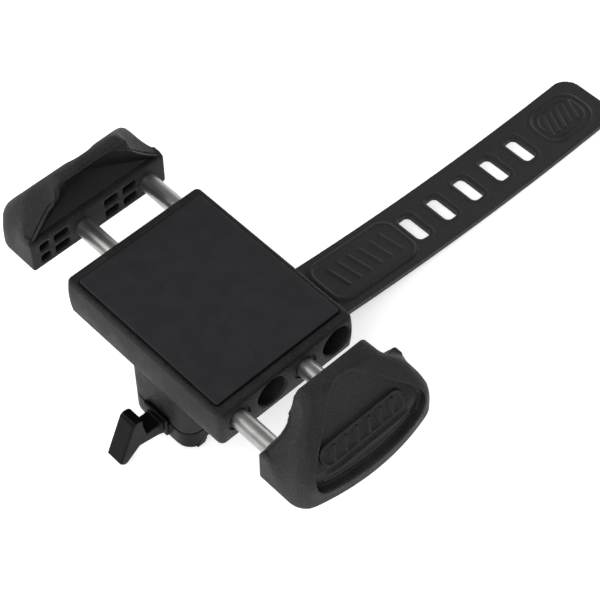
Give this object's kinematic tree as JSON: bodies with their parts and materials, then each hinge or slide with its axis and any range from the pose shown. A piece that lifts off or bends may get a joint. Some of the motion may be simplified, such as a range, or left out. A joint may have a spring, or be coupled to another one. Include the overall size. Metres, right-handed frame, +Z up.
{
  "type": "phone handlebar mount",
  "caption": "Handlebar phone holder with sprung jaws on steel rods, a turning head, a rubber-lined saddle and a slotted rubber strap that hooks round the bar.",
  "frame": {"origin": "middle of the handlebar's axis, under the centre of the saddle", "axes": "+X along the handlebar towards the right jaw, +Y across it towards the tip of the strap, +Z up through the neck to the phone"},
  "size_m": [0.1148, 0.1742, 0.0533],
  "materials": {
    "housing_plastic": "fine spark-eroded texture, matt",
    "base_plastic": "smooth satin moulding",
    "cover_plastic": "fine matt texture",
    "jaw_plastic": "coarse matt mould texture",
    "liner_rubber": "smooth matt rubber",
    "pad_rubber": "smooth matt rubber",
    "saddle_rubber": "matt rubber",
    "strap_rubber": "matt elastomer",
    "rod_steel": "ground and polished",
    "spring_steel": "drawn wire",
    "fastener_steel": "zinc plated",
    "acetal": "natural acetal"
  },
  "bodies": {
    "base": {"neck": "housing_plastic", "bar_base": "base_plastic", "saddle_pad": "saddle_rubber", "base_screws": "fastener_steel", "strap_pin": "rod_steel"},
    "strap": {"strap": "strap_rubber"},
    "head": {"housing": "housing_plastic", "bottom_cover": "cover_plastic", "phone_pad": "pad_rubber", "cover_screws": "fastener_steel", "pivot_screw": "fastener_steel", "pivot_washer": "fastener_steel", "friction_washer": "acetal", "right_spring_outer": "spring_steel", "right_spring_inner": "spring_steel", "left_spring_outer": "spring_steel", "left_spring_inner": "spring_steel"},
    "right_jaw": {"right_jaw_body": "jaw_plastic", "right_jaw_liner": "liner_rubber", "right_rod_outer": "rod_steel", "right_rod_inner": "rod_steel", "right_stop_washers": "fastener_steel", "right_end_screws": "fastener_steel"},
    "left_jaw": {"left_jaw_body": "jaw_plastic", "left_jaw_liner": "liner_rubber", "left_rod_outer": "rod_steel", "left_rod_inner": "rod_steel", "left_stop_washers": "fastener_steel", "left_end_screws": "fastener_steel"}
  },
  "joints": [
    {"name": "head_swivel", "type": "hinge", "parent": "base", "child": "head", "pos_m": [0, 0, 0.0338], "axis": [0, 0, 1], "range_deg": [-90, 90]},
    {"name": "right_jaw_slide", "type": "slide", "parent": "head", "child": "right_jaw", "axis": [1, 0, 0], "range_m": [-0.0122, 0.006], "stiffness_N_per_m": 300, "deforming": ["right_spring_outer", "right_spring_inner"]},
    {"name": "left_jaw_slide", "type": "slide", "parent": "head", "child": "left_jaw", "axis": [-1, 0, 0], "range_m": [-0.0122, 0.006], "stiffness_N_per_m": 300, "deforming": ["left_spring_outer", "left_spring_inner"]},
    {"name": "strap_hinge", "type": "hinge", "parent": "base", "child": "strap", "pos_m": [0, 0.0212, 0.0142], "axis": [1, 0, 0], "range_deg": [-95, 15]}
  ]
}
